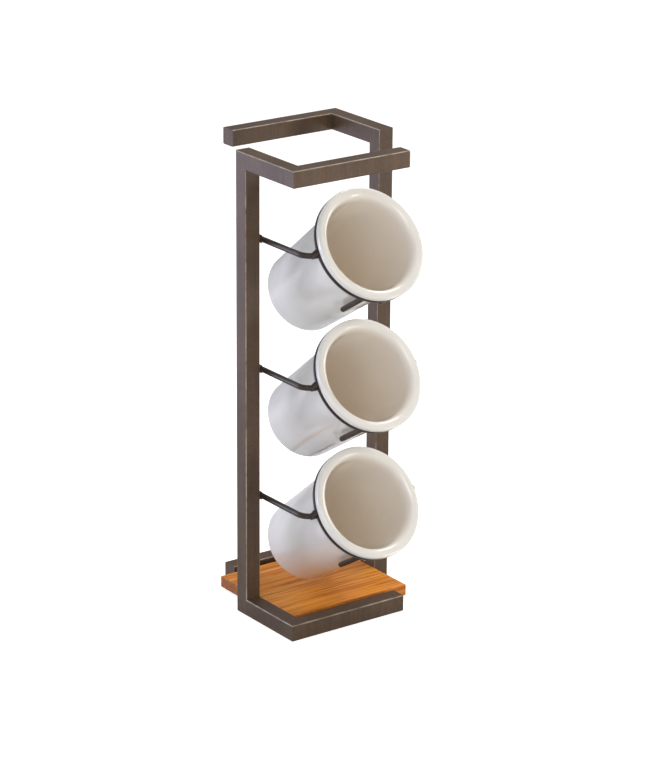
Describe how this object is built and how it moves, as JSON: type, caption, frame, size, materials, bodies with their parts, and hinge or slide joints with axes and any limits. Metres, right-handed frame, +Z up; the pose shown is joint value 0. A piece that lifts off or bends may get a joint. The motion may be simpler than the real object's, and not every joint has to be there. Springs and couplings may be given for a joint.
{
  "type": "tiered jar stand",
  "caption": "Upright counter stand of dark square-tube frames on a wood board, holding tilted white ceramic jars one above another in wire rings.",
  "frame": {"origin": "on the floor, on the vertical axis about which the two tube frames repeat by half a turn, at the underside of the board's support plate", "axes": "+Z up; X along the long front and rear bars, with the left upright at -X; the jars lean out towards -Y, the front"},
  "size_m": [0.1968, 0.2385, 0.5334],
  "materials": {
    "frame_steel": "fine-textured dark bronze powder coat on square steel tube and plate",
    "wire_steel": "dark bronze powder coat on round steel wire",
    "weld_metal": "dark bronze powder coat over small weld beads",
    "board_wood": "warm straight-grained hardwood, satin oiled",
    "screw_steel": "plain zinc-coloured screw steel",
    "jar_glaze": "glossy white glaze, warmer inside"
  },
  "bodies": {
    "stand": {"left_upright": "frame_steel", "left_base_arm": "frame_steel", "left_top_arm": "frame_steel", "front_base_bar": "frame_steel", "front_top_bar": "frame_steel", "front_base_end_plate": "frame_steel", "front_top_end_plate": "frame_steel", "right_upright": "frame_steel", "right_base_arm": "frame_steel", "right_top_arm": "frame_steel", "rear_base_bar": "frame_steel", "rear_top_bar": "frame_steel", "rear_base_end_plate": "frame_steel", "rear_top_end_plate": "frame_steel", "board_support_plate": "frame_steel", "bottom_ring": "wire_steel", "bottom_left_arm": "wire_steel", "bottom_right_arm": "wire_steel", "bottom_left_prong": "wire_steel", "bottom_right_prong": "wire_steel", "middle_ring": "wire_steel", "middle_left_arm": "wire_steel", "middle_right_arm": "wire_steel", "middle_left_prong": "wire_steel", "middle_right_prong": "wire_steel", "top_ring": "wire_steel", "top_left_arm": "wire_steel", "top_right_arm": "wire_steel", "top_left_prong": "wire_steel", "top_right_prong": "wire_steel", "arm_lap_welds": "weld_metal", "bottom_ring_welds": "weld_metal", "middle_ring_welds": "weld_metal", "top_ring_welds": "weld_metal", "base_board": "board_wood", "board_screws": "screw_steel"},
    "top_jar_body": {"top_jar": "jar_glaze"},
    "middle_jar_body": {"middle_jar": "jar_glaze"},
    "bottom_jar_body": {"bottom_jar": "jar_glaze"}
  },
  "joints": [
    {"name": "top_jar_slide", "type": "slide", "parent": "stand", "child": "top_jar_body", "axis": [0, -0.8508, 0.5255], "range_m": [0, 0.16]},
    {"name": "middle_jar_slide", "type": "slide", "parent": "stand", "child": "middle_jar_body", "axis": [0, -0.8508, 0.5255], "range_m": [0, 0.068]},
    {"name": "bottom_jar_slide", "type": "slide", "parent": "stand", "child": "bottom_jar_body", "axis": [0, -0.8508, 0.5255], "range_m": [0, 0.068]}
  ]
}
